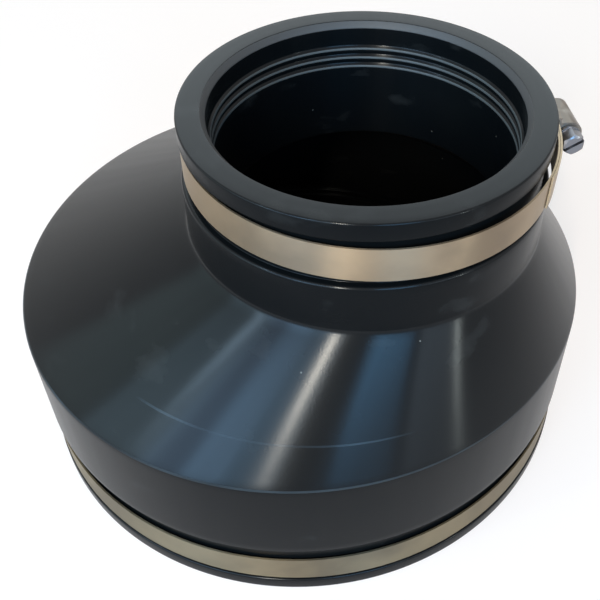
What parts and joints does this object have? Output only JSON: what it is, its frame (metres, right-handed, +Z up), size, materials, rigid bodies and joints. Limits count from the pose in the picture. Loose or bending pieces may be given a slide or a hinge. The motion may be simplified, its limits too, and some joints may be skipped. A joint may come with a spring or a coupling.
{
  "type": "eccentric rubber transition coupling",
  "caption": "Flexible rubber sleeve that joins a wide drain pipe to a narrower one set off its axis, with a slotted worm-drive band clamp on each end.",
  "frame": {"origin": "centre of the large open end, on the plane that the coupling stands on", "axes": "+Z up along both pipe axes, from the large end to the small end; the small axis is set off towards +X and -Y"},
  "size_m": [0.246, 0.2515, 0.1645],
  "materials": {
    "rubber": "satin moulded EPDM",
    "band_steel": "rolled stainless strip",
    "housing_steel": "pressed stainless",
    "screw_steel": "bright zinc plated"
  },
  "bodies": {
    "coupling": {"coupling_body": "rubber", "small_clamp_band": "band_steel", "small_clamp_housing": "housing_steel", "large_clamp_band": "band_steel", "large_clamp_housing": "housing_steel"},
    "small_screw": {"small_clamp_screw": "screw_steel"},
    "large_screw": {"large_clamp_screw": "screw_steel"}
  },
  "joints": [
    {"name": "small_screw_turn", "type": "hinge", "parent": "coupling", "child": "small_screw", "pos_m": [0.10368, -0.00456, 0.14724], "axis": [0.1563, -0.9876, -0.0126], "continuous": true},
    {"name": "large_screw_turn", "type": "hinge", "parent": "coupling", "child": "large_screw", "pos_m": [0.0438, 0.12033, 0.0148], "axis": [0.9397, -0.342, 0], "continuous": true}
  ]
}
